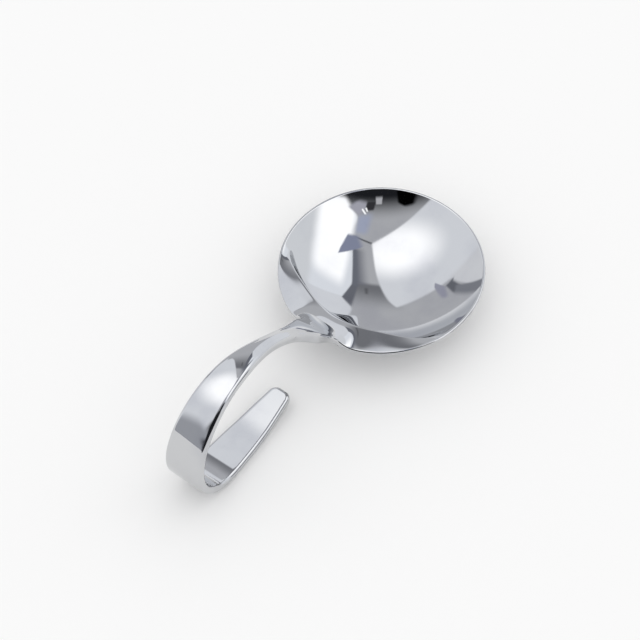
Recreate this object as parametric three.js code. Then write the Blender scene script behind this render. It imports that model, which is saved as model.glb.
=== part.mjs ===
// Appetizer spoon: one piece of polished stainless steel, pressed and bent from a flat blank.
// A round dish steps up to a level brim on one side, and the brim rises into a narrow neck. The neck
// widens into a strap that arches away from the bowl, curls under itself and returns as a tail, so
// the spoon stands level on the bottom of its bowl and on the flat foot of its tail.
// Millimetres, +Z up, +X from the strap towards the bowl's far lip. The plane y = 0 halves the spoon.
import * as THREE from 'three';

// Driving dimensions of the bowl. Heights here are measured from the level of its rim.
const rimRadius = 25;             // to the outside of the rounded edge
const wallReach = 24.2;           // from the bowl's middle to the lip, away from the strap
const creaseReach = 17.9;         // from the bowl's middle to the crease, towards the strap
const plateThickness = 1.4;       // in the middle of the bowl
const rimThickness = 0.9;
const standPress = 0.2;           // flattened off the bowl's underside, where it stands
const brimHeight = 0.12;          // the crease lies this far above the rim
const stepRun = 1;                // length of the steep step inside the crease, on the wings
const neckStepRun = 3.6;          // the same in front of the neck
const plateStepRun = 7;           // the same in the soft copy that gives the thickness direction

// Driving dimensions of the ramp, where the brim rises into the neck.
const rootRise = 3.4;             // the neck's top face above the rim, at the rim's edge
const rampSoftness = 2;           // rounding of the ramp's lower end
const rampHalfWidth = 6.5;
const skirtHalfWidth = 14;        // the brim lifts gently this far to each side of the ramp
const thickeningRun = 6;          // the plate thickens to the neck's thickness over this length
const notchRadius = 1.5;          // inside corner between the rim and the neck
const blendRun = 7;               // the ramp turns into the strap's own section over this length

// Driving dimensions of the strap, measured along its outer face.
const strapLength = 108.9;
const rootWidth = 9.8;
const upperFlareWidth = 7.9;
const middleFlareWidth = 5.9;
const lowerFlareWidth = 4.5;
const neckWidth = 4.25;
const archWidth = 7.35;
const shoulderWidth = 9.55;
const loopWidth = 10.75;
const footWidth = 9.4;
const tailWidth = 7.65;
const tipWidth = 5.4;
const rootThickness = 2.8;
const neckThickness = 2.6;
const loopThickness = 2;
const tipThickness = 2.3;
const rootRounding = 0.5;         // radius of the long edges, from the root to the tip
const neckRounding = 1.2;
const archRounding = 1;
const loopRounding = 0.75;
const tipRounding = 0.9;
const neckCrown = 0.25;           // the outer face stands this much higher along its middle
const archCrown = 0.2;
const tipCornerRadius = 1;

// Shape of the bowl as pure numbers and angles.
const shoulderSpread = 60;        // degrees to each side of the strap
const shoulderPower = 4;
const brimSpread = 68;            // degrees to each side of the strap
const brimPower = 9;
const neckSpread = 14;            // degrees to each side of the strap
const lipLean = 40.5;             // degrees that the plate's edge leans outwards at the lip
const skirtShare = 0.12;          // part of the ramp's height that its skirts have
const rampPower = 4;
const footSoftnessShare = 0.25;   // rounding at the step's foot, as a share of its run
const creaseSoftnessShare = 0.1;  // rounding at the crease, as a share of the step's run

// Course of the strap: its direction in degrees at shares of its length. It climbs from the rim,
// passes level over the arch, falls, runs flat at the foot and lifts a little towards the tip.
const bendShares = [0, 0.03, 0.065, 0.104, 0.263, 0.433, 0.602, 0.691, 0.811, 0.861, 0.925, 1];
const bendDirections = [50, 48, 43.5, 40, 17.6, -33.3, -88, -131, -180, -180, -187, -187];

const widthShares = [0, 0.044, 0.084, 0.129, 0.184, 0.348, 0.513, 0.672, 0.831, 0.92, 1];
const widths = [
  rootWidth, upperFlareWidth, middleFlareWidth, lowerFlareWidth, neckWidth,
  archWidth, shoulderWidth, loopWidth, footWidth, tailWidth, tipWidth,
];
const thicknessShares = [0, 0.2, 0.66, 1];
const thicknesses = [rootThickness, neckThickness, loopThickness, tipThickness];
const roundingShares = [0, 0.15, 0.35, 0.6, 0.88, 1];
const roundings = [rootRounding, neckRounding, archRounding, loopRounding, tipRounding, tipRounding];
const crownShares = [0, 0.1, 0.4, 0.8, 1];
const crowns = [0, neckCrown, archCrown, 0, 0];

// Mesh counts, and how the stations crowd together where the shape turns fast.
const pathSteps = 1200;
const dishRings = 9;
const stepRings = 4;
const shoulderRings = 4;
const neckCells = 6;
const rimCells = 44;
const notchRows = 3;
const strapRows = [2, 2, 2, 6, 7, 8, 5, 7, 2, 3, 3];
const tipRows = 3;
const arcCells = 2;
const rimGradingShare = 0.35;     // crowds the rim's cells towards the neck
const bowlGradingPower = 1.4;     // crowds the dish's rings towards the step
const dishRingsShare = 0.86;      // ring number at which the rings of the step begin
const shoulderGradingPower = 1.3; // crowds the shoulder's rings towards the crease
const notchGradingPower = 1.5;    // crowds the notch's rows towards the rim
const tipClearance = 1.5;         // corner radii before the tip that have no other rows
const fullRoundShare = 0.94;      // most of half the thickness that an edge's radius takes
const nudgeShare = 0.02;          // step that a slope is measured over

const turn = Math.PI / 180;
const clamp01 = (value) => Math.min(Math.max(value, 0), 1);
const mix = (from, to, share) => from + (to - from) * share;
const ease = (value) => {
  const share = clamp01(value);
  return share * share * share * (share * (share * 6 - 15) + 10);
};
const softPlus = (value, softness) => {
  const share = value / softness;
  return softness * (Math.max(share, 0) + Math.log1p(Math.exp(-Math.abs(share))));
};

// A curve through the given values that never overshoots them.
function steadyLaw(shares, values) {
  const last = shares.length - 1;
  const runs = shares.slice(1).map((share, i) => share - shares[i]);
  const rates = runs.map((run, i) => (values[i + 1] - values[i]) / run);
  const slopes = values.map((value, i) => {
    if (i === 0) return rates[0];
    if (i === last) return rates[last - 1];
    if (rates[i - 1] * rates[i] <= 0) return 0;
    const before = 2 * runs[i] + runs[i - 1];
    const after = runs[i] + 2 * runs[i - 1];
    return (before + after) / (before / rates[i - 1] + after / rates[i]);
  });
  return (share) => {
    let i = 0;
    while (i < last - 1 && share > shares[i + 1]) i += 1;
    const t = clamp01((share - shares[i]) / runs[i]);
    const rest = 1 - t;
    return values[i] * rest * rest * (1 + 2 * t) + values[i + 1] * t * t * (3 - 2 * t)
      + runs[i] * t * rest * (slopes[i] * rest - slopes[i + 1] * t);
  };
}

const directionAt = steadyLaw(bendShares, bendDirections);
const widthAt = steadyLaw(widthShares, widths);
const thicknessAt = steadyLaw(thicknessShares, thicknesses);
const roundingAt = steadyLaw(roundingShares, roundings);
const crownAt = steadyLaw(crownShares, crowns);

// The rim's edge line, inside its rounding. "reach" is the distance from the bowl's middle and
// "bearing" the angle from the strap's direction, in radians.
const edgeRounding = rimThickness / 2;
const shoulderAt = (bearing) => Math.exp(-((Math.abs(bearing) / (shoulderSpread * turn)) ** shoulderPower));
const creaseAt = (bearing) => mix(wallReach, creaseReach, shoulderAt(bearing));
const edgeReachAt = (bearing) => (
  rimRadius - edgeRounding * (1 + Math.sin(lipLean * turn) * (1 - shoulderAt(bearing)))
);

// The strap's course on its outer face: distances from the bowl's middle and heights above the rim.
const rootReach = edgeReachAt(0);
const course = [{ reach: rootReach, height: rootRise }];
for (let i = 1; i <= pathSteps; i += 1) {
  const direction = directionAt((i - 0.5) / pathSteps) * turn;
  const step = strapLength / pathSteps;
  const { reach, height } = course[i - 1];
  course.push({ reach: reach + step * Math.cos(direction), height: height + step * Math.sin(direction) });
}
function courseAt(share) {
  const place = clamp01(share) * pathSteps;
  const i = Math.min(Math.floor(place), pathSteps - 1);
  const from = course[i];
  const to = course[i + 1];
  return { reach: mix(from.reach, to.reach, place - i), height: mix(from.height, to.height, place - i) };
}

// The foot decides how deep the bowl is, because both stand on one level.
const footLevel = Math.min(...course.map((point) => point.height));
const bowlDepth = -footLevel - plateThickness + standPress;

// Height of the ramp and its skirts above the rim.
const rampTilt = Math.tan(bendDirections[0] * turn);
const rampStart = rootReach - rootRise / rampTilt;
function rampHeight(reach, bearing) {
  const along = reach * Math.cos(bearing);
  const aside = Math.abs(reach * Math.sin(bearing));
  const bell = mix(Math.exp(-((aside / rampHalfWidth) ** rampPower)),
    Math.exp(-((aside / skirtHalfWidth) ** 2)), skirtShare);
  return rampTilt * softPlus(along - rampStart, rampSoftness) * bell;
}

// The bowl's hollow: a round cap that steps up to a level brim on the strap's side.
const capRadius = (wallReach ** 2 + bowlDepth ** 2) / (2 * bowlDepth);
// Past the wall's top the lip runs on level, within the height of the rim's rounding.
const capHeight = (reach) => (
  Math.min(capRadius - bowlDepth - Math.sqrt(capRadius ** 2 - reach ** 2), edgeRounding)
);
function brimShare(reach, bearing, run) {
  const place = (reach - creaseAt(bearing)) / run;
  const climb = softPlus(place + 1, footSoftnessShare) - softPlus(place, creaseSoftnessShare);
  return climb * Math.exp(-((Math.abs(bearing) / (brimSpread * turn)) ** brimPower));
}
function stepRunAt(bearing) {
  return mix(stepRun, neckStepRun, Math.exp(-((bearing / (neckSpread * turn)) ** 2)));
}

// A ring from 0 to 1 lies in the hollow, and one from 1 to 2 on the brim.
const middleReach = mix(creaseReach, wallReach, 0.5);
function reachOf(ring, bearing) {
  if (ring <= 1) return ring * mix(middleReach, creaseAt(bearing), ease(ring));
  return mix(creaseAt(bearing), edgeReachAt(bearing), ring - 1);
}
function bowlPoint(ring, bearing, run, fall) {
  const reach = reachOf(ring, bearing);
  const brim = brimHeight * (1 - fall) + rampHeight(reach, bearing);
  const height = mix(capHeight(reach), brim, brimShare(reach, bearing, run));
  return new THREE.Vector3(-reach * Math.cos(bearing), reach * Math.sin(bearing), height);
}

// The plate's thickness direction, from a softer copy of its upper face.
function plateUp(ring, bearing) {
  const softPoint = (atRing, atBearing) => bowlPoint(atRing, atBearing, plateStepRun, 0);
  const along = softPoint(ring + nudgeShare, bearing).sub(softPoint(ring - nudgeShare, bearing));
  const across = softPoint(ring, bearing + nudgeShare).sub(softPoint(ring, bearing - nudgeShare));
  return across.cross(along).normalize();
}
function plateThicknessAt(ring, point) {
  const run = ease((-point.x - rampStart) / thickeningRun + 0.5);
  const bell = Math.exp(-((point.y / rampHalfWidth) ** 2));
  return mix(mix(plateThickness, rimThickness, ease(ring)), rootThickness, run * bell);
}

// The notch: an arc that joins the rim's edge line to the neck's edge line on each side.
const rootHalfFlat = rootWidth / 2 - rootRounding;
const notchCentreAside = rootHalfFlat + notchRadius;
const notchBearing = Math.asin(notchCentreAside / (rootReach + notchRadius));
const notchCentreReach = (rootReach + notchRadius) * Math.cos(notchBearing);
const notchRun = (notchCentreReach - rootReach * Math.cos(notchBearing)) / Math.cos(bendDirections[0] * turn);
function notchWidening(distance) {
  if (distance >= notchRun) return 0;
  const along = (notchRun - distance) / notchRun * (notchCentreReach - rootReach * Math.cos(notchBearing));
  return notchRadius - Math.sqrt(notchRadius ** 2 - Math.min(along, notchRadius) ** 2);
}

// Half the flat width of the strap's outer face, between its rounded edges.
const tipRun = tipCornerRadius / strapLength;
function halfFlatAt(share) {
  const corner = clamp01((share - 1 + tipRun) / tipRun);
  return widthAt(share) / 2 - roundingAt(share) + notchWidening(share * strapLength)
    - tipCornerRadius * (1 - Math.sqrt(1 - corner ** 2));
}

// A point of the strap's outer face, its up direction and its thickness. "side" runs from -1 to 1.
function strapPoint(share, side) {
  const aside = side * halfFlatAt(share);
  const { reach, height } = courseAt(share);
  const direction = directionAt(share) * turn;
  const up = new THREE.Vector3(Math.sin(direction), 0, Math.cos(direction));
  const own = new THREE.Vector3(-reach, aside, height)
    .addScaledVector(up, crownAt(share) * (1 - side ** 2));
  const taken = ease(share * strapLength / blendRun);
  if (taken === 1) return { point: own, up, thickness: thicknessAt(share) };
  const sag = rootReach - Math.sqrt(rootReach ** 2 - aside ** 2);
  const along = reach - sag * (1 - taken);
  const bearing = Math.atan2(aside, along);
  const spread = Math.hypot(along, aside);
  const ramp = new THREE.Vector3(-along, aside, rampHeight(spread, bearing));
  const rampUp = plateUp(2, bearing);
  return {
    point: ramp.clone().lerp(own, taken),
    up: rampUp.lerp(up, taken).normalize(),
    thickness: mix(plateThicknessAt(2, ramp), thicknessAt(share), taken),
  };
}

// Stations of the mesh.
const evenly = (count, from, to) => Array.from({ length: count }, (_, i) => mix(from, to, (i + 1) / count));
const ringStations = [
  ...evenly(dishRings, 0, 1).map((share) => dishRingsShare * (1 - (1 - share) ** bowlGradingPower)),
  ...evenly(stepRings, dishRingsShare, 1),
  ...evenly(shoulderRings, 0, 1).map((share) => 1 + share ** shoulderGradingPower),
];
const sides = [-1, ...evenly(neckCells, -1, 1)];
const neckBearings = sides.map((side) => side * notchBearing);
const rimBearings = evenly(rimCells, 0, 1).slice(0, -1)
  .map((share) => mix(share, ease(share), rimGradingShare))
  .map((share) => mix(notchBearing, 2 * Math.PI - notchBearing, share))
  .map((bearing) => (bearing > Math.PI ? bearing - 2 * Math.PI : bearing));
const bearings = [...neckBearings, ...rimBearings];
const notchShares = evenly(notchRows, 0, 1)
  .map((share) => share ** notchGradingPower * notchRun / strapLength);
const bendRows = strapRows.flatMap((count, i) => evenly(count, bendShares[i], bendShares[i + 1]));
const tipShares = evenly(tipRows, 0, 1).map((share) => 1 - tipRun + tipRun * Math.sin(share * Math.PI / 2));
const strapStations = [
  ...notchShares,
  ...bendRows.filter((share) => share > notchShares.at(-1) && share < 1 - tipClearance * tipRun),
  1 - tipRun,
  ...tipShares,
];

// Vertices of the upper face, each with the one below it on the plate's other face.
const vertices = [];
const addVertex = (point) => vertices.push(point) - 1;
const footed = (point) => {
  point.z = Math.max(point.z, footLevel);
  return point;
};
function addPair(point, up, thickness, rounding) {
  const lower = footed(point.clone().addScaledVector(up, -thickness));
  return { upper: addVertex(point), lower: addVertex(lower), rounding };
}
function bowlPair(ring, bearing) {
  const fall = clamp01(ring - 1) ** 4;
  const point = bowlPoint(ring, bearing, stepRunAt(bearing), fall);
  return addPair(point, plateUp(ring, bearing), plateThicknessAt(ring, point), edgeRounding);
}
const upright = new THREE.Vector3(0, 0, 1);
const middle = addPair(bowlPoint(0, 0, stepRun, 0), upright, plateThickness, edgeRounding);
const rings = ringStations.map((ring) => bearings.map((bearing) => bowlPair(ring, bearing)));
const rim = rings.at(-1);
const neckStart = rim.slice(0, sides.length);
const rows = [neckStart, ...strapStations.map((share) => sides.map((side) => {
  const { point, up, thickness } = strapPoint(share, side);
  return addPair(point, up, thickness, roundingAt(share));
}))];

// Faces of both skins.
const faces = [];
const addQuad = (a, b, c, d) => faces.push([a, b, c], [a, c, d]);
function addSkins(a, b, c, d) {
  addQuad(a.upper, b.upper, c.upper, d.upper);
  addQuad(d.lower, c.lower, b.lower, a.lower);
}
bearings.forEach((_, i) => {
  const next = (i + 1) % bearings.length;
  faces.push([middle.upper, rings[0][next].upper, rings[0][i].upper]);
  faces.push([middle.lower, rings[0][i].lower, rings[0][next].lower]);
  for (let k = 1; k < rings.length; k += 1) {
    addSkins(rings[k - 1][i], rings[k - 1][next], rings[k][next], rings[k][i]);
  }
});
for (let k = 1; k < rows.length; k += 1) {
  for (let i = 1; i < sides.length; i += 1) {
    addSkins(rows[k - 1][i - 1], rows[k - 1][i], rows[k][i], rows[k][i - 1]);
  }
}

// The outline: round the rim, out along one side of the strap, across the tip and back.
const outline = [
  ...rim.slice(sides.length - 1),
  ...rows.map((row) => row[0]),
  ...rows.at(-1).slice(1, -1),
  ...rows.slice(1).map((row) => row.at(-1)).reverse(),
];

// The rounded edge that closes the plate all the way along the outline.
const edgeProfile = (thickness, rounding) => {
  const radius = Math.min(rounding, fullRoundShare * thickness / 2);
  const angles = evenly(arcCells, 0, 90).map((angle) => angle * turn);
  const upper = angles.map((angle) => ({
    out: radius * Math.sin(angle), down: radius * (1 - Math.cos(angle)),
  }));
  const lower = upper.map(({ out, down }) => ({ out, down: thickness - down })).reverse();
  return [...upper, ...lower];
};
const edgeColumns = outline.map((pair, i) => {
  const before = outline.at(i - 1);
  const after = outline[(i + 1) % outline.length];
  const upper = vertices[pair.upper];
  const up = upper.clone().sub(vertices[pair.lower]);
  const thickness = up.length();
  up.normalize();
  const along = vertices[after.upper].clone().sub(vertices[before.upper]);
  const out = up.clone().cross(along).normalize();
  const profile = edgeProfile(thickness, pair.rounding);
  const between = profile.map((place) => addVertex(
    upper.clone().addScaledVector(out, place.out).addScaledVector(up, -place.down),
  ));
  return [pair.upper, ...between, pair.lower];
});
edgeColumns.forEach((column, i) => {
  const next = edgeColumns[(i + 1) % edgeColumns.length];
  for (let k = 1; k < column.length; k += 1) {
    addQuad(column[k - 1], next[k - 1], next[k], column[k]);
  }
});

const geometry = new THREE.BufferGeometry().setFromPoints(vertices);
geometry.setIndex(faces.flat());

// The origin is under the middle of the whole spoon, on the level that it stands on.
geometry.computeBoundingBox();
const { min, max } = geometry.boundingBox;
geometry.translate(-mix(min.x, max.x, 0.5), 0, -footLevel);
geometry.computeVertexNormals();

const steel = new THREE.MeshStandardMaterial({ color: 0xc7c8ca, metalness: 1, roughness: 0.05 });

const spoon = new THREE.Mesh(geometry, steel);
spoon.name = 'spoon';

const part = new THREE.Group();
part.add(spoon);

export default part;
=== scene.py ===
"""Appetizer spoon: one blank of stainless steel sheet, pressed, bent and mirror-polished.

The smooth skin is computed from the same sizes as the CAD solid. Sizes are in millimetres, measured
from the middle of the bowl's rim, and "reach" runs towards the strap. Meshes are made in metres.
"""
import logging
import math
from dataclasses import dataclass, field
from enum import Enum
from typing import Any

import bpy
import numpy as np
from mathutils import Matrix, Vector


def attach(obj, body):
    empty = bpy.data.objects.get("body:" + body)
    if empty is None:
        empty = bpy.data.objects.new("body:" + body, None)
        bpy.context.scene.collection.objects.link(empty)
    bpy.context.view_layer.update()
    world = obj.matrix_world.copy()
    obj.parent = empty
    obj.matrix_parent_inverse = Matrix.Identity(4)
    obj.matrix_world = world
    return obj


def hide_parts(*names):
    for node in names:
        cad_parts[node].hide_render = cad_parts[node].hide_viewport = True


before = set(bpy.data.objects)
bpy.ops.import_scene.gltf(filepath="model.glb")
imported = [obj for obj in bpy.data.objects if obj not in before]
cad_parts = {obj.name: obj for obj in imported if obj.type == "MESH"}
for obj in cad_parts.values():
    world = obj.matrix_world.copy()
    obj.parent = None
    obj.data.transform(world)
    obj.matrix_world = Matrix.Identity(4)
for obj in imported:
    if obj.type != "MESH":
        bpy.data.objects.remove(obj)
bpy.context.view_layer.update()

LOG = logging.getLogger("spoon")
MILLIMETRE = 0.001
CAMERA_AZIMUTH = -52.96


def mix(start: Any, end: Any, share: Any) -> Any:
    """Blends from start to end.

    Args:
        start: The value at share 0.
        end: The value at share 1.
        share: How far to go from one to the other.

    Returns:
        The blended value, of the inputs' broadcast shape.
    """
    return start + (end - start) * share


def ease(value: Any) -> Any:
    """Rises from 0 to 1 with a level start and end.

    Args:
        value: Any numbers; those outside 0 to 1 are clipped.

    Returns:
        The eased numbers.
    """
    share = np.clip(value, 0, 1)
    return share**3 * (share * (share * 6 - 15) + 10)


def soft_plus(value: Any, softness: Any) -> Any:
    """Bends from 0 into the value itself, rounded off around 0.

    Args:
        value: The numbers to bend.
        softness: The reach of the rounding, in the numbers' own unit.

    Returns:
        About 0 for negative numbers and about the number for positive ones.
    """
    return softness * np.logaddexp(0, value / softness)


def unit(vectors: np.ndarray) -> np.ndarray:
    """Returns the vectors at length 1."""
    return vectors / np.linalg.norm(vectors, axis=-1, keepdims=True)


def stations(count: int, start: float, end: float) -> np.ndarray:
    """Returns evenly spaced numbers after start, the last one being end."""
    return np.linspace(start, end, count + 1)[1:]


@dataclass(frozen=True)
class SteadyLaw:
    """A smooth curve through given values that never overshoots them."""

    shares: tuple[float, ...]
    values: tuple[float, ...]

    def slopes(self) -> np.ndarray:
        """Works out the curve's slope at each given value.

        Returns:
            One slope per value, 0 where the values turn round.
        """
        runs = np.diff(self.shares)
        rates = np.diff(self.values) / runs
        slopes = np.zeros(len(self.values))
        slopes[0], slopes[-1] = rates[0], rates[-1]
        for i in range(1, len(self.values) - 1):
            if rates[i - 1] * rates[i] > 0:
                before = 2 * runs[i] + runs[i - 1]
                after = runs[i] + 2 * runs[i - 1]
                slopes[i] = (before + after) / (before / rates[i - 1] + after / rates[i])
        return slopes

    def __call__(self, share: Any) -> np.ndarray:
        """Reads the curve.

        Args:
            share: Places along the curve, from 0 to 1.

        Returns:
            The values at these places.
        """
        knots, values, slopes = np.array(self.shares), np.array(self.values), self.slopes()
        i = np.clip(np.searchsorted(knots, share) - 1, 0, len(knots) - 2)
        run = knots[i + 1] - knots[i]
        t = np.clip((share - knots[i]) / run, 0, 1)
        rest = 1 - t
        return (
            values[i] * rest**2 * (1 + 2 * t)
            + values[i + 1] * t**2 * (3 - 2 * t)
            + run * t * rest * (slopes[i] * rest - slopes[i + 1] * t)
        )


@dataclass(frozen=True)
class Rim:
    """The bowl's edge line, inside its rounding. A bearing is an angle from the strap's direction."""

    radius: float = 25.0
    thickness: float = 0.9
    lip_lean: float = 40.5
    shoulder_spread: float = 60.0
    shoulder_power: float = 4.0

    @property
    def rounding(self) -> float:
        """Radius of the plate's rounded edge."""
        return self.thickness / 2

    def shoulder_at(self, bearing: np.ndarray) -> np.ndarray:
        """Returns 1 on the strap's side and 0 on the lip's side."""
        spread = math.radians(self.shoulder_spread)
        return np.exp(-((np.abs(bearing) / spread) ** self.shoulder_power))

    def edge_reach_at(self, bearing: np.ndarray) -> np.ndarray:
        """Returns the distance from the bowl's middle to the edge line."""
        lean = math.sin(math.radians(self.lip_lean)) * (1 - self.shoulder_at(bearing))
        return self.radius - self.rounding * (1 + lean)


@dataclass(frozen=True)
class Ramp:
    """The rise of the brim into the neck, with a skirt that falls away to each side."""

    root_reach: float
    root_rise: float = 3.4
    tilt: float = 50.0
    softness: float = 2.0
    half_width: float = 6.5
    skirt_half_width: float = 14.0
    skirt_share: float = 0.12
    power: float = 4.0

    @property
    def start(self) -> float:
        """Distance from the bowl's middle at which the ramp leaves the rim's level."""
        return self.root_reach - self.root_rise / math.tan(math.radians(self.tilt))

    def height(self, reach: np.ndarray, bearing: np.ndarray) -> np.ndarray:
        """Works out how far the ramp stands above the rim.

        Args:
            reach: Distances from the bowl's middle.
            bearing: Angles from the strap's direction.

        Returns:
            The heights.
        """
        along = reach * np.cos(bearing)
        aside = np.abs(reach * np.sin(bearing))
        bell = mix(
            np.exp(-((aside / self.half_width) ** self.power)),
            np.exp(-((aside / self.skirt_half_width) ** 2)),
            self.skirt_share,
        )
        return math.tan(math.radians(self.tilt)) * soft_plus(along - self.start, self.softness) * bell


@dataclass(frozen=True)
class Bowl:
    """The round dish, the step at its crease and the brim. Rings 0 to 1 lie in the dish, 1 to 2 outside."""

    rim: Rim
    ramp: Ramp
    depth: float
    plate_thickness: float = 1.4
    wall_reach: float = 24.2
    crease_reach: float = 17.9
    root_thickness: float = 2.8
    thickening_run: float = 6.0
    brim_height: float = 0.12
    brim_spread: float = 68.0
    brim_power: float = 9.0
    step_run: float = 1.0
    neck_step_run: float = 3.6
    neck_spread: float = 14.0
    plate_step_run: float = 7.0
    foot_softness: float = 0.25
    crease_softness: float = 0.1
    fall_power: float = 4.0
    nudge: float = 0.02

    def crease_at(self, bearing: np.ndarray) -> np.ndarray:
        """Returns the distance from the bowl's middle to the crease."""
        return mix(self.wall_reach, self.crease_reach, self.rim.shoulder_at(bearing))

    def step_run_at(self, bearing: np.ndarray) -> np.ndarray:
        """Returns the length of the step inside the crease, which is longest in front of the neck."""
        bell = np.exp(-((bearing / math.radians(self.neck_spread)) ** 2))
        return mix(self.step_run, self.neck_step_run, bell)

    def cap_height(self, reach: np.ndarray) -> np.ndarray:
        """Returns the height of the round dish above the rim, so mostly a negative number."""
        radius = (self.wall_reach**2 + self.depth**2) / (2 * self.depth)
        return radius - self.depth - np.sqrt(radius**2 - reach**2)

    def brim_share(self, reach: np.ndarray, bearing: np.ndarray, run: Any) -> np.ndarray:
        """Works out how far the surface has climbed from the dish to the brim.

        Args:
            reach: Distances from the bowl's middle.
            bearing: Angles from the strap's direction.
            run: Length of the step inside the crease.

        Returns:
            0 in the dish and 1 on the strap's side of the brim. It stays near 0 at the lip.
        """
        place = (reach - self.crease_at(bearing)) / run
        climb = soft_plus(place + 1, self.foot_softness) - soft_plus(place, self.crease_softness)
        return climb * np.exp(-((np.abs(bearing) / math.radians(self.brim_spread)) ** self.brim_power))

    def reach_of(self, ring: np.ndarray, bearing: np.ndarray) -> np.ndarray:
        """Returns how far from the bowl's middle a ring lies."""
        crease = self.crease_at(bearing)
        middle = mix(self.crease_reach, self.wall_reach, 0.5)
        inside = ring * mix(middle, crease, ease(ring))
        return np.where(ring <= 1, inside, mix(crease, self.rim.edge_reach_at(bearing), ring - 1))

    def point(self, ring: np.ndarray, bearing: np.ndarray, run: Any, fall: Any) -> np.ndarray:
        """Finds points of the bowl's upper face.

        Args:
            ring: Ring numbers.
            bearing: Angles from the strap's direction.
            run: Length of the step inside the crease.
            fall: Share of the brim's height that is taken away.

        Returns:
            Points, with the last axis for x, y and z.
        """
        reach = self.reach_of(ring, bearing)
        brim = self.brim_height * (1 - fall) + self.ramp.height(reach, bearing)
        height = mix(self.cap_height(reach), brim, self.brim_share(reach, bearing, run))
        return np.stack([-reach * np.cos(bearing), reach * np.sin(bearing), height], axis=-1)

    def up(self, ring: np.ndarray, bearing: np.ndarray) -> np.ndarray:
        """Returns the plate's thickness direction, from a softer copy of its upper face."""
        step = self.nudge

        def soft(at_ring: np.ndarray, at_bearing: np.ndarray) -> np.ndarray:
            """Returns a point of the softer copy."""
            return self.point(at_ring, at_bearing, self.plate_step_run, 0)

        along = soft(ring + step, bearing) - soft(ring - step, bearing)
        across = soft(ring, bearing + step) - soft(ring, bearing - step)
        return unit(np.cross(across, along))

    def thickness_at(self, ring: Any, point: np.ndarray) -> np.ndarray:
        """Returns the plate's thickness, which falls towards the rim and grows towards the neck."""
        run = ease((-point[..., 0] - self.ramp.start) / self.thickening_run + 0.5)
        bell = np.exp(-((point[..., 1] / self.ramp.half_width) ** 2))
        plain = mix(self.plate_thickness, self.rim.thickness, ease(ring))
        return mix(plain, self.root_thickness, run * bell)


@dataclass(frozen=True)
class Strap:
    """The neck, arch, loop, foot and tail, measured along the outer face from the rim to the tip."""

    rim: Rim
    length: float = 108.9
    bend: SteadyLaw = SteadyLaw(
        (0, 0.03, 0.065, 0.104, 0.263, 0.433, 0.602, 0.691, 0.811, 0.861, 0.925, 1),
        (50, 48, 43.5, 40, 17.6, -33.3, -88, -131, -180, -180, -187, -187),
    )
    width: SteadyLaw = SteadyLaw(
        (0, 0.044, 0.084, 0.129, 0.184, 0.348, 0.513, 0.672, 0.831, 0.92, 1),
        (9.8, 7.9, 5.9, 4.5, 4.25, 7.35, 9.55, 10.75, 9.4, 7.65, 5.4),
    )
    thickness: SteadyLaw = SteadyLaw((0, 0.2, 0.66, 1), (2.8, 2.6, 2.0, 2.3))
    rounding: SteadyLaw = SteadyLaw((0, 0.15, 0.35, 0.6, 0.88, 1), (0.5, 1.2, 1.0, 0.75, 0.9, 0.9))
    crown: SteadyLaw = SteadyLaw((0, 0.1, 0.4, 0.8, 1), (0, 0.25, 0.2, 0, 0))
    notch_radius: float = 1.5
    blend_run: float = 7.0
    tip_corner_radius: float = 1.0
    path_steps: int = 4800
    least_along: float = 1.0

    @property
    def root_reach(self) -> float:
        """Distance from the bowl's middle to the strap's start."""
        return float(self.rim.edge_reach_at(np.zeros(1))[0])

    @property
    def root_half_flat(self) -> float:
        """Half the strap's flat width at its start."""
        return float(self.width(0) / 2 - self.rounding(0))

    @property
    def tip_run(self) -> float:
        """Share of the length that the tip's rounded corners take."""
        return self.tip_corner_radius / self.length

    @property
    def notch_bearing(self) -> float:
        """Angle from the strap's direction at which the notch leaves the rim's edge."""
        aside = self.root_half_flat + self.notch_radius
        return math.asin(aside / (self.root_reach + self.notch_radius))

    @property
    def notch_depth(self) -> float:
        """How far the notch's arc runs out from the rim, seen from above."""
        return self.notch_radius * math.cos(self.notch_bearing)

    @property
    def notch_run(self) -> float:
        """Length of the strap beside the notch's arc."""
        return self.notch_depth / math.cos(math.radians(self.bend.values[0]))

    def course(self, ramp: Ramp) -> np.ndarray:
        """Adds up the strap's course in small steps.

        Args:
            ramp: Gives the height at which the strap starts.

        Returns:
            One row per step, with the distance from the bowl's middle and the height above the rim.
        """
        direction = np.radians(self.bend((np.arange(self.path_steps) + 0.5) / self.path_steps))
        steps = np.stack([np.cos(direction), np.sin(direction)], axis=-1) * self.length / self.path_steps
        start = np.array([[self.root_reach, ramp.root_rise]])
        return np.concatenate([start, start + np.cumsum(steps, axis=0)])

    def half_flat_at(self, share: np.ndarray) -> np.ndarray:
        """Works out half the flat width of the outer face, between its rounded edges.

        Args:
            share: Places along the strap.

        Returns:
            The half widths, wider beside the notch and narrower at the tip's corners.
        """
        left = np.clip((self.notch_run - share * self.length) / self.notch_run, 0, 1) * self.notch_depth
        notch = self.notch_radius - np.sqrt(self.notch_radius**2 - left**2)
        corner = np.clip((share - 1 + self.tip_run) / self.tip_run, 0, 1)
        tip = self.tip_corner_radius * (1 - np.sqrt(1 - corner**2))
        return self.width(share) / 2 - self.rounding(share) + notch - tip


@dataclass
class Grid:
    """Pairs of points, one on the plate's upper face and one below it on the other face."""

    upper: np.ndarray
    lower: np.ndarray
    rounding: np.ndarray

    def row(self, i: int) -> "Grid":
        """Returns one row of the grid."""
        return Grid(self.upper[i], self.lower[i], self.rounding[i])


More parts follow.
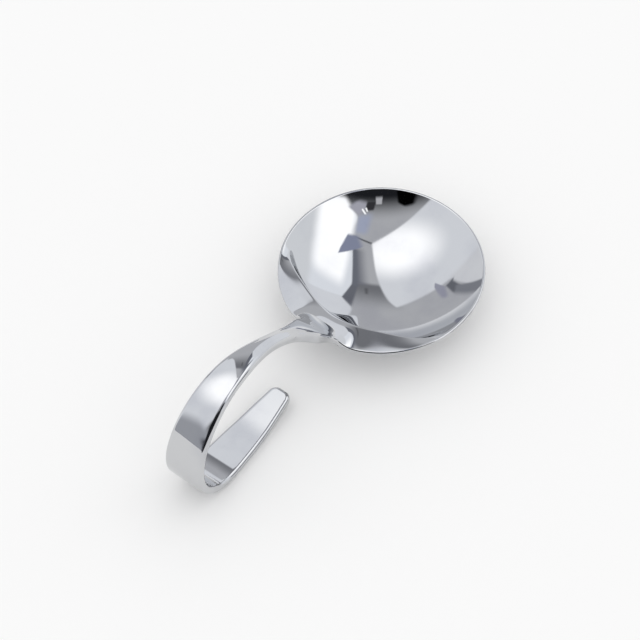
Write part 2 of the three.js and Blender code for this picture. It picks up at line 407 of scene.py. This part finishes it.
@dataclass
class Spoon:
    """The whole spoon: bowl, brim, neck, arch, loop, foot and tail, in one skin."""

    rim: Rim = field(default_factory=Rim)
    stand_press: float = 0.2
    bowl_rings: int = 96
    shoulder_rings: int = 30
    neck_cells: int = 30
    rim_cells: int = 420
    notch_rows: int = 20
    strap_rows: int = 420
    tip_rows: int = 10
    arc_cells: int = 7
    bowl_grading: float = 1.4
    shoulder_grading: float = 1.3
    notch_grading: float = 1.5
    full_round_share: float = 0.94
    name: str = "spoon_skin"

    def __post_init__(self) -> None:
        """Sets the strap, the ramp and the bowl against each other."""
        self.strap = Strap(self.rim)
        self.ramp = Ramp(self.strap.root_reach)
        self.course = self.strap.course(self.ramp)
        self.foot_level = float(self.course[:, 1].min())
        depth = -self.foot_level - Bowl.plate_thickness + self.stand_press
        self.bowl = Bowl(self.rim, self.ramp, depth)

    def pair(self, point: np.ndarray, up: np.ndarray, thickness: Any, rounding: Any) -> Grid:
        """Sets a point of the lower face under each point of the upper one.

        Args:
            point: Points of the upper face.
            up: Directions from the lower face to the upper one.
            thickness: The plate's thickness at each point.
            rounding: The radius that an edge would have at each point.

        Returns:
            The pairs, the lower points never below the level that the spoon stands on.
        """
        lower = point - up * np.broadcast_to(thickness, point.shape[:-1])[..., None]
        lower[..., 2] = np.maximum(lower[..., 2], self.foot_level)
        return Grid(point, lower, np.broadcast_to(rounding, point.shape[:-1]))

    def bowl_grid(self, bearings: np.ndarray) -> Grid:
        """Computes the bowl and its brim.

        Args:
            bearings: Angles from the strap's direction, all the way round.

        Returns:
            One row of pairs per ring, from the middle out.
        """
        inner = 1 - (1 - stations(self.bowl_rings, 0, 1)) ** self.bowl_grading
        outer = 1 + stations(self.shoulder_rings, 0, 1) ** self.shoulder_grading
        ring, bearing = np.meshgrid(np.concatenate([inner, outer]), bearings, indexing="ij")
        fall = np.clip(ring - 1, 0, 1) ** self.bowl.fall_power
        point = self.bowl.point(ring, bearing, self.bowl.step_run_at(bearing), fall)
        thickness = self.bowl.thickness_at(ring, point)
        return self.pair(point, self.bowl.up(ring, bearing), thickness, self.rim.rounding)

    def strap_grid(self, sides: np.ndarray) -> Grid:
        """Computes the strap.

        Args:
            sides: Places across it, from -1 to 1.

        Returns:
            One row of pairs per station, from just outside the rim to the tip.
        """
        strap = self.strap
        tip = 1 - strap.tip_run
        notch = stations(self.notch_rows, 0, 1) ** self.notch_grading * strap.notch_run / strap.length
        free = stations(self.strap_rows, notch[-1], tip)
        corners = tip + strap.tip_run * np.sin(stations(self.tip_rows, 0, 1) * np.pi / 2)
        share, side = np.meshgrid(np.concatenate([notch, free, corners]), sides, indexing="ij")

        place = share * strap.path_steps
        reach = np.interp(place, np.arange(len(self.course)), self.course[:, 0])
        height = np.interp(place, np.arange(len(self.course)), self.course[:, 1])
        direction = np.radians(strap.bend(share))
        aside = side * strap.half_flat_at(share)
        own_up = np.stack([np.sin(direction), np.zeros_like(share), np.cos(direction)], axis=-1)
        own = np.stack([-reach, aside, height], axis=-1)
        own = own + own_up * (strap.crown(share) * (1 - side**2))[..., None]

        taken = ease(share * strap.length / strap.blend_run)
        along = reach - (strap.root_reach - np.sqrt(strap.root_reach**2 - aside**2)) * (1 - taken)
        bearing = np.arctan2(aside, np.maximum(along, strap.least_along))
        climb = self.ramp.height(np.hypot(along, aside), bearing)
        ramp = np.stack([-along, aside, np.where(taken < 1, climb, 0)], axis=-1)
        ramp_up = self.bowl.up(np.full_like(bearing, 2), bearing)

        point = mix(ramp, own, taken[..., None])
        up = unit(mix(ramp_up, own_up, taken[..., None]))
        thickness = mix(self.bowl.thickness_at(2, ramp), strap.thickness(share), taken)
        return self.pair(point, up, thickness, strap.rounding(share))

    def edge_columns(self, outline: Grid) -> np.ndarray:
        """Rounds the plate's edge all the way along the outline.

        Args:
            outline: The pairs along the outline, in order.

        Returns:
            Points of the edge between each pair, one row per pair.
        """
        up = outline.upper - outline.lower
        thickness = np.linalg.norm(up, axis=-1)
        up = unit(up)
        along = np.roll(outline.upper, -1, axis=0) - np.roll(outline.upper, 1, axis=0)
        out = unit(np.cross(up, along))
        radius = np.minimum(outline.rounding, self.full_round_share * thickness / 2)
        angles = stations(self.arc_cells, 0, np.pi / 2)
        reach = radius[:, None] * np.sin(angles)
        down = radius[:, None] * (1 - np.cos(angles))
        reach = np.concatenate([reach, reach[:, ::-1]], axis=1)
        down = np.concatenate([down, thickness[:, None] - down[:, ::-1]], axis=1)
        return outline.upper[:, None] + out[:, None] * reach[..., None] - up[:, None] * down[..., None]

    def build(self) -> bpy.types.Object:
        """Makes the spoon's mesh.

        Returns:
            The object, in the frame's place.
        """
        sides = np.linspace(-1, 1, self.neck_cells + 1)
        notch = self.strap.notch_bearing
        round_rim = mix(notch, 2 * np.pi - notch, stations(self.rim_cells, 0, 1)[:-1])
        round_rim = np.where(round_rim > np.pi, round_rim - 2 * np.pi, round_rim)
        rings = self.bowl_grid(np.concatenate([sides * notch, round_rim]))
        rows = self.strap_grid(sides)

        middle_point = self.bowl.point(np.zeros(1), np.zeros(1), self.bowl.step_run, 0)
        upright = np.array([[0.0, 0.0, 1.0]])
        middle = self.pair(middle_point, upright, self.bowl.plate_thickness, self.rim.rounding)

        points: list[np.ndarray] = []
        counts = 0

        def add(block: np.ndarray) -> np.ndarray:
            """Stores a block of points and returns their numbers in the block's shape."""
            nonlocal counts
            points.append(block.reshape(-1, 3))
            numbers = np.arange(counts, counts + points[-1].shape[0]).reshape(block.shape[:-1])
            counts += points[-1].shape[0]
            return numbers

        hub = [add(middle.upper)[0], add(middle.lower)[0]]
        ring_ids = [add(rings.upper), add(rings.lower)]
        row_ids = [add(rows.upper), add(rows.lower)]
        neck = len(sides)
        last = rings.row(-1)

        def outline_of(rim: np.ndarray, strap: np.ndarray) -> np.ndarray:
            """Strings the rim, one side of the strap, the tip and the other side together."""
            return np.concatenate(
                [rim[neck - 1 :], rim[:1], strap[:, 0], strap[-1, 1:-1], strap[::-1, -1]]
            )

        outline = Grid(
            outline_of(last.upper, rows.upper),
            outline_of(last.lower, rows.lower),
            outline_of(last.rounding, rows.rounding),
        )
        upper_ids = outline_of(ring_ids[0][-1], row_ids[0])
        lower_ids = outline_of(ring_ids[1][-1], row_ids[1])
        edge_ids = add(self.edge_columns(outline))

        quads: list[np.ndarray] = []
        fans: list[np.ndarray] = []

        def sheet(ids: np.ndarray, flip: bool) -> None:
            """Spans faces over a grid of numbers."""
            corners = [ids[:-1, :-1], ids[:-1, 1:], ids[1:, 1:], ids[1:, :-1]]
            quads.append(np.stack(corners[::-1] if flip else corners, axis=-1).reshape(-1, 4))

        for face in (0, 1):
            closed = np.concatenate([ring_ids[face], ring_ids[face][:, :1]], axis=1)
            sheet(closed, flip=face == 1)
            first = closed[0]
            fan = [np.full(len(first) - 1, hub[face]), first[1:], first[:-1]]
            fans.append(np.stack(fan[::-1] if face == 1 else fan, axis=-1))
            strap_ids = np.concatenate([ring_ids[face][-1:, :neck], row_ids[face]])
            sheet(strap_ids, flip=face == 1)
        columns = np.concatenate([upper_ids[:, None], edge_ids, lower_ids[:, None]], axis=1)
        sheet(np.concatenate([columns, columns[:1]]), flip=True)

        place = np.concatenate(points)
        self.offset = np.array([-(place[:, 0].min() + place[:, 0].max()) / 2, 0, -self.foot_level])
        faces = [*np.concatenate(quads).tolist(), *np.concatenate(fans).tolist()]
        mesh = bpy.data.meshes.new(self.name)
        mesh.from_pydata(((place + self.offset) * MILLIMETRE).tolist(), [], faces)
        mesh.validate()
        mesh.shade_smooth()
        skin = bpy.data.objects.new(self.name, mesh)
        bpy.context.scene.collection.objects.link(skin)
        return skin


def linear_colour(hex_colour: str) -> tuple[float, float, float, float]:
    """Turns an sRGB hex colour to Blender's linear colour.

    Args:
        hex_colour: Six hex digits.

    Returns:
        Red, green, blue and a full alpha.
    """
    channels = [int(hex_colour[i : i + 2], 16) / 255 for i in (0, 2, 4)]
    linear = [c / 12.92 if c <= 0.04045 else ((c + 0.055) / 1.055) ** 2.4 for c in channels]
    return (*linear, 1.0)


def add_node(
    tree: bpy.types.NodeTree, kind: str, settings: dict[str, Any] | None = None, **links: Any
) -> bpy.types.Node:
    """Adds a node with its settings and links.

    Args:
        tree: The node tree to add to.
        kind: The node's type name.
        settings: Values for the node's own properties, and for its inputs by name or number.
        links: Output sockets to link, by input name with underscores for spaces, or i and its number.

    Returns:
        The node.
    """
    node = tree.nodes.new(kind)
    for key, value in (settings or {}).items():
        if isinstance(key, int) or key in node.inputs:
            node.inputs[key].default_value = value
        else:
            setattr(node, key, value)
    for key, socket in links.items():
        name = int(key[1:]) if key[0] == "i" and key[1:].isdigit() else key.replace("_", " ")
        tree.links.new(socket, node.inputs[name])
    return node


@dataclass(frozen=True)
class MirrorPolishedSteel:
    """Stainless steel, buffed to a mirror.

    Bright steel under a patchy haze of wiping marks. Buffing lines and the press's faint waves make
    the reflections waver a little, so the eye reads solid metal instead of glass.
    """

    name: str = "mirror_polished_stainless_steel"
    colour: str = "cacbcd"
    hazy_colour: str = "c1c2c6"
    roughness: float = 0.02
    hazy_roughness: float = 0.08
    haze_mm: float = 11.0
    haze_detail: float = 4.0
    haze_range: tuple[float, float] = (0.45, 0.75)
    line_width_mm: float = 0.3
    line_length_mm: float = 8.0
    line_height_mm: float = 0.0006
    line_detail: float = 1.0
    wave_mm: float = 7.0
    wave_height_mm: float = 0.014

    def noise(
        self, tree: bpy.types.NodeTree, size_mm: tuple[float, float, float], detail: float
    ) -> bpy.types.NodeSocket:
        """Adds a noise whose patches have a real size.

        Args:
            tree: The material's node tree.
            size_mm: Size of the patches along x, y and z.
            detail: How many finer layers the noise has.

        Returns:
            The noise's socket, around 0.5.
        """
        place = add_node(tree, "ShaderNodeTexCoord").outputs["Object"]
        scale = tuple(1 / (size * MILLIMETRE) for size in size_mm)
        sized = add_node(tree, "ShaderNodeVectorMath", {"operation": "MULTIPLY", 1: scale}, i0=place)
        noise = add_node(
            tree, "ShaderNodeTexNoise", {"Scale": 1.0, "Detail": detail}, Vector=sized.outputs[0]
        )
        return noise.outputs[0]

    def material(self) -> bpy.types.Material:
        """Builds the finish.

        Returns:
            The material.
        """
        material = bpy.data.materials.new(self.name)
        material.use_nodes = True
        tree = material.node_tree
        shader = tree.nodes["Principled BSDF"]
        shader.inputs["Metallic"].default_value = 1.0

        patches = self.noise(tree, (self.haze_mm,) * 3, self.haze_detail)
        clear, hazy = self.haze_range
        haze = add_node(
            tree, "ShaderNodeMapRange", {"interpolation_type": "SMOOTHSTEP", 1: clear, 2: hazy}, i0=patches
        ).outputs[0]
        colour = add_node(
            tree, "ShaderNodeMix",
            {"data_type": "RGBA", 6: linear_colour(self.colour), 7: linear_colour(self.hazy_colour)}, i0=haze,
        ).outputs[2]
        roughness = add_node(
            tree, "ShaderNodeMapRange", {3: self.roughness, 4: self.hazy_roughness}, i0=haze
        ).outputs[0]

        waves = self.noise(tree, (self.wave_mm,) * 3, 0.0)
        line_mm = (self.line_length_mm, self.line_width_mm, self.line_width_mm)
        lines = self.noise(tree, line_mm, self.line_detail)
        wavy = add_node(tree, "ShaderNodeBump", {"Distance": self.wave_height_mm * MILLIMETRE}, Height=waves)
        fine = add_node(
            tree, "ShaderNodeBump", {"Distance": self.line_height_mm * MILLIMETRE},
            Height=lines, Normal=wavy.outputs[0],
        )
        tree.links.new(colour, shader.inputs["Base Color"])
        tree.links.new(roughness, shader.inputs["Roughness"])
        tree.links.new(fine.outputs[0], shader.inputs["Normal"])
        return material


@dataclass(frozen=True)
class Viewpoint:
    """The photograph's camera, placed by the middle of the bowl's rim."""

    azimuth: float = CAMERA_AZIMUTH
    elevation: float = 52.93
    distance: float = 0.6
    lens: float = 140.87
    aim_pixel: tuple[float, float] = (381.34, 268.12)
    frame_pixels: float = 640.0
    sensor_width: float = 36.0
    clip: tuple[float, float] = (0.01, 20.0)

    def camera(self, aim: Vector) -> bpy.types.Object:
        """Makes the camera.

        Args:
            aim: The middle of the bowl's rim, in metres.

        Returns:
            The camera, set as the scene's own.
        """
        turn, lift = math.radians(self.azimuth), math.radians(self.elevation)
        back = Vector((math.sin(turn) * math.cos(lift), -math.cos(turn) * math.cos(lift), math.sin(lift)))
        data = bpy.data.cameras.new("viewpoint")
        data.lens = self.lens
        data.sensor_width = self.sensor_width
        data.shift_x = 0.5 - self.aim_pixel[0] / self.frame_pixels
        data.shift_y = self.aim_pixel[1] / self.frame_pixels - 0.5
        data.clip_start, data.clip_end = self.clip
        camera = bpy.data.objects.new("viewpoint", data)
        camera.location = aim + back * self.distance
        camera.rotation_euler = (-back).to_track_quat("-Z", "Y").to_euler()
        bpy.context.scene.collection.objects.link(camera)
        bpy.context.scene.camera = camera
        return camera


@dataclass(frozen=True)
class Panel:
    """A pale sheet, lamp or dark gap of the studio, as a convex outline on its chart.

    The chart is the sky laid flat: the zenith in the middle and the horizon 90 degrees out, x to the
    right and y away from the photographer, in degrees. Each corner is x, y and the softness of the
    edge to the next corner, clockwise.
    """

    name: str
    colour: str
    corners: tuple[tuple[float, float, float], ...]


@dataclass(frozen=True)
class Glow:
    """A lamp behind a sheet: an oval that brightens the sheet it lies on."""

    colour: str
    centre: tuple[float, float]
    inner: float
    outer: float
    stretch: tuple[float, float]


class Tone(Enum):
    """The studio's plain tones, as polished steel shows them."""

    WALL = "a3a4a7"
    SHEET = "c9cbcf"
    PALE = "d2d5da"
    LIT = "ffffff"
    GAP = "6a6b6f"
    SLATE = "7c8194"
    ROOM = "1a1b1e"


@dataclass(frozen=True)
class Studio:
    """A plain pale table inside a tent of pale sheets, open towards the photographer."""

    floor_size: float = 6.0
    floor_colour: str = "f7f7f7"
    heading: float = CAMERA_AZIMUTH
    strength: float = 1.7
    table_light: float = 1.03
    lamp_sheet: str = "left_sheet"
    left_lamp: Glow = Glow("ffffff", (-12.0, 2.5), 13.0, 41.0, (1.0, 1.4))
    back: tuple[Panel, ...] = (
        Panel("gap", Tone.GAP.value, ((-9, 48, 12), (20, 43.5, 3), (18.5, 29.5, 2), (0, 31.5, 2.5))),
        Panel(
            "gap_knot", "56575a",
            ((8.5, 40, 1.2), (10, 40, 1.2), (10.7, 34.5, 1.2), (8.7, 34.5, 1.2)),
        ),
        Panel("gap_side", "6a6c74", ((10.8, 32, 1.5), (17, 31, 1.5), (20, 1.5, 3), (14, 2, 5))),
        Panel(
            "stripe_far", "62646b",
            ((18.2, 55, 2), (25, 47.4, 1), (24, 43.8, 1), (18.8, 31.8, 1.2), (15, 32.7, 1)),
        ),
        Panel(
            "stripe_near", "64676f",
            ((14.8, 34, 0.8), (18.6, 33.3, 0.8), (21, 20.5, 0.8), (20.3, 2.5, 0.8), (17.5, 3, 1.6)),
        ),
        Panel(
            "camera_side", Tone.ROOM.value,
            ((-45, -31, 10), (45, -29, 4), (90, -130, 5), (-90, -130, 5)),
        ),
        Panel("slate_low", "989eb0", ((11, -10, 3), (20, -10.5, 3), (17.5, -24, 3), (7, -25.5, 3))),
        Panel("seam", "585a5d", ((6.6, -2.3, 0.5), (21, -7.2, 0.8), (21, -8.3, 0.5), (6.6, -3.8, 0.5))),
    )
    left: tuple[Panel, ...] = (
        Panel(
            "left_sheet", Tone.SHEET.value,
            (
                (-9, 53.5, 1), (-5, 48, 1.2), (0, 35.3, 1.2), (3.7, 21.5, 1), (6.6, -3, 1),
                (-33, -27.5, 2), (-85, -57, 3), (-151, -75, 3), (-151, -3, 1.5),
            ),
        ),
        Panel(
            "left_dusk", "8f9196",
            ((-130, -16, 8), (-72, -16, 8), (-50, -34, 7), (-58, -78, 6), (-130, -60, 6)),
        ),
        Panel("left_smudge", "46474c", ((-63, -46, 3), (-50, -48, 3), (-50, -72, 3), (-72, -60, 3))),
        Panel(
            "left_wall", "c2c3c6",
            ((-62, 90, 1.2), (-46, 41, 1), (-43.8, 37.5, 3), (-110, 8, 3), (-136, 90, 3)),
        ),
    )
    front: tuple[Panel, ...] = (
        Panel(
            "right_sheet_top", Tone.PALE.value,
            ((25, 47.5, 3), (90, 47, 4), (90, 10, 4), (20.2, 3.7, 0.8), (18.8, 31.8, 0.8)),
        ),
        Panel(
            "right_sheet_end", Tone.SHEET.value,
            ((16, 88, 1), (90, 88, 1), (90, 44, 1), (25, 46, 1), (18, 55, 1)),
        ),
        Panel(
            "right_sheet_middle", Tone.PALE.value,
            ((35.5, 28, 3.5), (46.5, 25, 3.5), (50, -20, 3.5), (20.7, -20, 0.7)),
        ),
        Panel(
            "right_sheet_low", Tone.PALE.value,
            (
                (37.6, 14.5, 3.5), (50, 10, 3.5), (50, -44, 2), (26, -30, 1.2),
                (18.5, -23.6, 1.2), (18.2, -20, 1.6),
            ),
        ),
        Panel(
            "right_wall", "c6c8cb",
            ((47, 60, 3), (130, 60, 3), (130, -60, 3), (50, -52, 3), (48, -37, 3)),
        ),
        Panel("right_dusk", "3c3d42", ((72, 4, 5), (120, 4, 5), (120, -60, 5), (74, -40, 5))),
        Panel(
            "right_lamp", Tone.LIT.value,
            ((25.3, 33.4, 8), (46.5, 26, 5), (50, -31, 2.5), (29, -36, 2.5), (19.4, -24, 3)),
        ),
        Panel(
            "slate_tip", Tone.SLATE.value,
            ((30.3, 8.6, 0.6), (29.5, 4.4, 0.8), (24.7, -8.3, 1.6), (16.8, -8.2, 3), (13.5, 0.4, 0.7)),
        ),
        Panel(
            "pale_corner", "9c9ca5",
            ((12.5, -29, 1.6), (17, -24, 1.2), (26, -29, 1.6), (18.5, -35, 2.5), (11.5, -34, 0.8)),
        ),
        Panel(
            "black_left", "020202",
            ((-26.5, -31, 1.6), (-18.5, -30.3, 1.2), (-13.2, -33.8, 1.2), (-12.7, -51, 2.5), (-35, -51, 2.5)),
        ),
        Panel(
            "black_right", "303033",
            ((5.8, -28.7, 1), (10.5, -28, 0.8), (12, -30.8, 0.8), (10.6, -34.5, 0.8), (4.2, -35, 0.8)),
        ),
        Panel("block", "a6a6a9", ((-0.4, -33.2, 0.6), (4, -33, 0.6), (4.4, -38.2, 1.6), (-1, -38.6, 0.6))),
        Panel(
            "lamp_a", Tone.LIT.value,
            ((10.3, -27.3, 0.5), (11.3, -27.1, 0.5), (12.6, -29.6, 0.5), (11.6, -30.2, 0.5)),
        ),
        Panel(
            "lamp_b", Tone.LIT.value,
            ((11.6, -25.5, 0.5), (12.8, -25.1, 0.5), (15.4, -28.4, 0.5), (14.4, -29.2, 0.5)),
        ),
        Panel("star_arm", "5f6167", ((-50, 51.5, 2.5), (-44.5, 56, 0.8), (-41, 44, 0.8), (-46, 42.5, 0.8))),
        Panel("star_tail", "74767c", ((-64, 62, 3), (-58, 74, 3), (-45, 56, 1.5), (-47, 48, 1.5))),
        Panel("star_foot", "5f6167", ((-47, 39.3, 0.6), (-45.5, 43.3, 0.6), (-40, 45, 0.6))),
        Panel(
            "wedge", "8e8f9b",
            (
                (-40.5, 56, 2.5), (-37.5, 56, 1.6), (-34.5, 47, 0.6), (-33.5, 41, 0.6),
                (-34.5, 37.3, 0.6), (-40.3, 44.2, 1.2),
            ),
        ),
    )

    def floor(self) -> bpy.types.Object:
        """Lays the floor on the level that the spoon stands on.

        Returns:
            The floor.
        """
        half = self.floor_size / 2
        mesh = bpy.data.meshes.new("floor")
        corners = [(-half, -half, 0), (half, -half, 0), (half, half, 0), (-half, half, 0)]
        mesh.from_pydata(corners, [], [(0, 1, 2, 3)])
        floor = bpy.data.objects.new("floor", mesh)
        bpy.context.scene.collection.objects.link(floor)
        material = bpy.data.materials.new("matt_pale_board")
        material.use_nodes = True
        shader = material.node_tree.nodes["Principled BSDF"]
        shader.inputs["Base Color"].default_value = linear_colour(self.floor_colour)
        shader.inputs["Roughness"].default_value = 1.0
        shader.inputs["Specular IOR Level"].default_value = 0.0
        mesh.materials.append(material)
        return floor

    def chart(self, tree: bpy.types.NodeTree) -> bpy.types.NodeSocket:
        """Lays the sky flat.

        Args:
            tree: The world's node tree.

        Returns:
            A vector socket with the chart's x and y in degrees.
        """
        turn = math.radians(self.heading)
        right = (math.cos(turn), math.sin(turn), 0)
        away = (-math.sin(turn), math.cos(turn), 0)
        sky = add_node(tree, "ShaderNodeTexCoord").outputs["Generated"]
        height = add_node(tree, "ShaderNodeSeparateXYZ", i0=sky).outputs["Z"]
        steep = add_node(tree, "ShaderNodeMath", {"operation": "ARCCOSINE"}, i0=height).outputs[0]
        degrees = add_node(tree, "ShaderNodeMath", {"operation": "DEGREES"}, i0=steep).outputs[0]
        x = add_node(tree, "ShaderNodeVectorMath", {"operation": "DOT_PRODUCT", 1: right}, i0=sky)
        y = add_node(tree, "ShaderNodeVectorMath", {"operation": "DOT_PRODUCT", 1: away}, i0=sky)
        flat = add_node(tree, "ShaderNodeCombineXYZ", i0=x.outputs["Value"], i1=y.outputs["Value"])
        bearing = add_node(tree, "ShaderNodeVectorMath", {"operation": "NORMALIZE"}, i0=flat.outputs[0])
        chart = add_node(
            tree, "ShaderNodeVectorMath", {"operation": "SCALE"}, i0=bearing.outputs[0], i3=degrees
        )
        return chart.outputs[0]

    def cover(
        self, tree: bpy.types.NodeTree, chart: bpy.types.NodeSocket, panel: Panel
    ) -> bpy.types.NodeSocket:
        """Works out where a panel covers the chart.

        Args:
            tree: The world's node tree.
            chart: The chart's socket.
            panel: The panel.

        Returns:
            A socket that is 1 inside the outline and 0 outside, with soft edges.
        """
        inside = None
        for (x, y, soft), (next_x, next_y, _) in zip(panel.corners, panel.corners[1:] + panel.corners[:1]):
            run = math.hypot(next_x - x, next_y - y)
            inward = ((next_y - y) / run, -(next_x - x) / run, 0)
            level = inward[0] * x + inward[1] * y
            depth = add_node(tree, "ShaderNodeVectorMath", {"operation": "DOT_PRODUCT", 1: inward}, i0=chart)
            edge = add_node(
                tree, "ShaderNodeMapRange",
                {"interpolation_type": "SMOOTHSTEP", 1: level - soft, 2: level + soft},
                i0=depth.outputs["Value"],
            ).outputs[0]
            if inside is None:
                inside = edge
            else:
                both = add_node(tree, "ShaderNodeMath", {"operation": "MULTIPLY"}, i0=inside, i1=edge)
                inside = both.outputs[0]
        return inside

    def world(self) -> None:
        """Hangs the panels round the spoon, as the world's light."""
        world = bpy.data.worlds.new("studio")
        world.use_nodes = True
        bpy.context.scene.world = world
        tree = world.node_tree
        chart = self.chart(tree)
        wall = add_node(tree, "ShaderNodeRGB")
        wall.outputs[0].default_value = linear_colour(Tone.WALL.value)
        colour = wall.outputs[0]

        glow = self.left_lamp
        shifted = add_node(
            tree, "ShaderNodeVectorMath", {"operation": "SUBTRACT", 1: (*glow.centre, 0)}, i0=chart
        ).outputs[0]
        oval = add_node(
            tree, "ShaderNodeVectorMath", {"operation": "MULTIPLY", 1: (*glow.stretch, 0)}, i0=shifted
        ).outputs[0]
        distance = add_node(tree, "ShaderNodeVectorMath", {"operation": "LENGTH"}, i0=oval).outputs["Value"]
        lit = add_node(
            tree, "ShaderNodeMapRange",
            {"interpolation_type": "SMOOTHSTEP", 1: glow.outer, 2: glow.inner}, i0=distance,
        ).outputs[0]
        for panel in (*self.back, *self.left, *self.front):
            cover = self.cover(tree, chart, panel)
            paint = add_node(tree, "ShaderNodeMix", {"data_type": "RGBA", 7: linear_colour(panel.colour)})
            if panel.name == self.lamp_sheet:
                sheet = add_node(
                    tree, "ShaderNodeMix",
                    {"data_type": "RGBA", 6: linear_colour(panel.colour), 7: linear_colour(glow.colour)},
                    i0=lit,
                ).outputs[2]
                tree.links.new(sheet, paint.inputs[7])
            tree.links.new(cover, paint.inputs[0])
            tree.links.new(colour, paint.inputs[6])
            colour = paint.outputs[2]
        background = tree.nodes["Background"]
        background.inputs["Strength"].default_value = self.strength
        tree.links.new(colour, background.inputs["Color"])
        self.even_out(tree, background)

    def even_out(self, tree: bpy.types.NodeTree, panels: bpy.types.Node) -> None:
        """Lets the panels show to the camera and in polish, and lights matt surfaces evenly.

        Args:
            tree: The world's node tree.
            panels: The background node that holds the panels.
        """
        plain = add_node(tree, "ShaderNodeBackground", {"Color": (1, 1, 1, 1), "Strength": self.table_light})
        ray = add_node(tree, "ShaderNodeLightPath").outputs
        seen = ray["Is Camera Ray"]
        for kind in ("Is Glossy Ray", "Is Transmission Ray"):
            either = add_node(tree, "ShaderNodeMath", {"operation": "MAXIMUM"}, i0=seen, i1=ray[kind])
            seen = either.outputs[0]
        light = add_node(
            tree, "ShaderNodeMixShader", i0=seen, i1=plain.outputs[0], i2=panels.outputs[0]
        ).outputs[0]
        tree.links.new(light, tree.nodes["World Output"].inputs["Surface"])


def main() -> None:
    """Builds the spoon, its finish, the studio and the camera."""
    logging.basicConfig(level=logging.INFO, format="%(name)s: %(message)s")
    bpy.context.scene.view_settings.view_transform = "Standard"
    studio = Studio()
    studio.floor()
    studio.world()

    spoon = Spoon()
    skin = spoon.build()
    Viewpoint().camera(Vector(spoon.offset) * MILLIMETRE)
    skin.data.materials.append(MirrorPolishedSteel().material())
    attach(skin, "root")
    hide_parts("spoon")
    LOG.info("%s: %d points, offset %s", skin.name, len(skin.data.vertices), spoon.offset)


if __name__ == "__main__":
    main()
